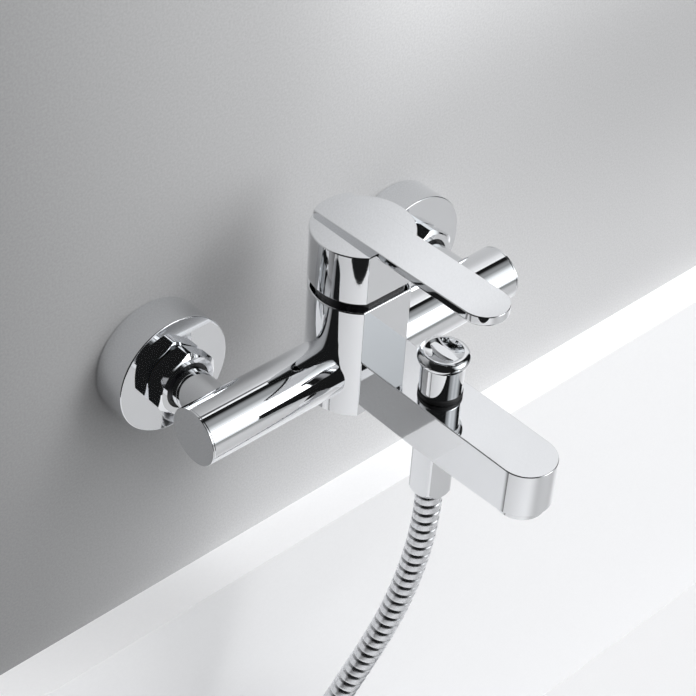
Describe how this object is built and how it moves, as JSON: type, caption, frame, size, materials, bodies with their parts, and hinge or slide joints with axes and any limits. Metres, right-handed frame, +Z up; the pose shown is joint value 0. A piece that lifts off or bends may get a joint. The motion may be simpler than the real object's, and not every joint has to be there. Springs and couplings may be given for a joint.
{
  "type": "wall mounted bath faucet",
  "caption": "Chromed single-lever bath mixer for wall inlets, with a flat bar spout, a pull-up diverter knob and a metal shower hose below.",
  "frame": {"origin": "on the finished wall face, half way between the two wall inlets", "axes": "+X along the wall to the right seen from the room, +Y into the wall, +Z up"},
  "size_m": [0.21, 0.1959, 0.4554],
  "materials": {
    "chrome": "mirror-polished chromium plate on brass",
    "brass": "machined, bare",
    "steel": "bright stainless steel",
    "hose_steel": "polished stainless strip, interlocked, looks like chrome",
    "rubber": "matte black",
    "fibre": "pressed fibre, dull red",
    "black_plastic": "satin black",
    "white_plastic": "moulded, satin",
    "chrome_plastic": "chromium-plated plastic",
    "ceramic": "lapped alumina"
  },
  "bodies": {
    "wall_body": {"wall_union_left": "brass", "wall_union_right": "brass", "wall_rose_left": "chrome", "wall_rose_right": "chrome", "union_nut_left": "chrome", "union_nut_right": "chrome", "union_gasket_left": "fibre", "union_gasket_right": "fibre", "inlet_screen_left": "steel", "inlet_screen_right": "steel", "nut_snap_ring_left": "black_plastic", "nut_snap_ring_right": "black_plastic", "main_body": "chrome", "tube_end_plug_left": "chrome", "tube_end_plug_right": "chrome", "end_plug_seal_left": "rubber", "end_plug_seal_right": "rubber", "cartridge_base": "white_plastic", "cartridge_seals": "rubber", "fixed_ceramic_disc": "ceramic", "cartridge_shell": "white_plastic", "cartridge_nut": "brass", "trim_ring": "black_plastic", "outlet_nipple": "brass", "diverter_seat": "brass", "diverter_bush": "brass", "diverter_stem_seal": "rubber", "knob_bumper_ring": "rubber", "diverter_spring": "steel", "aerator_housing": "chrome", "aerator_insert": "white_plastic", "aerator_screen": "steel", "aerator_gasket": "rubber", "hose_nut": "chrome", "hose_washer": "rubber", "hose_ferrule": "brass", "shower_hose": "hose_steel", "shower_hose_coil": "hose_steel", "hose_tie": "black_plastic", "shower_hose_tail": "hose_steel", "hose_cone_nut": "chrome", "hose_end_ferrule": "brass", "hose_end_washer": "rubber"},
    "lever_swivel": {"lever_carrier": "white_plastic", "lever_pin": "steel"},
    "ceramic_slider": {"moving_ceramic_disc": "ceramic", "disc_driver": "white_plastic"},
    "lever": {"handle_lever": "chrome", "lever_stem": "brass", "handle_screw": "steel", "screw_cover_plug": "chrome_plastic"},
    "diverter": {"diverter_knob": "chrome", "diverter_stem": "brass", "diverter_lower_seal": "rubber", "diverter_upper_seal": "rubber"}
  },
  "joints": [
    {"name": "handle_turn", "type": "hinge", "parent": "wall_body", "child": "lever_swivel", "pos_m": [0, -0.0568, 0.051], "axis": [0, 0, 1], "range_deg": [-45, 45]},
    {"name": "handle_lift", "type": "hinge", "parent": "lever_swivel", "child": "lever", "pos_m": [0, -0.0568, 0.039], "axis": [-1, 0, 0], "range_deg": [0, 22]},
    {"name": "disc_slide", "type": "slide", "parent": "lever_swivel", "child": "ceramic_slider", "axis": [0, -1, 0], "range_m": [0, 0.00357]},
    {"name": "diverter_lift", "type": "slide", "parent": "wall_body", "child": "diverter", "axis": [0, 0, 1], "range_m": [0, 0.008], "stiffness_N_per_m": 40, "springref_m": -0.008, "deforming": ["diverter_spring"]}
  ],
  "couplings": [
    {"joint": "disc_slide", "follows": "handle_lift", "m_per_rad": 0.00927}
  ]
}
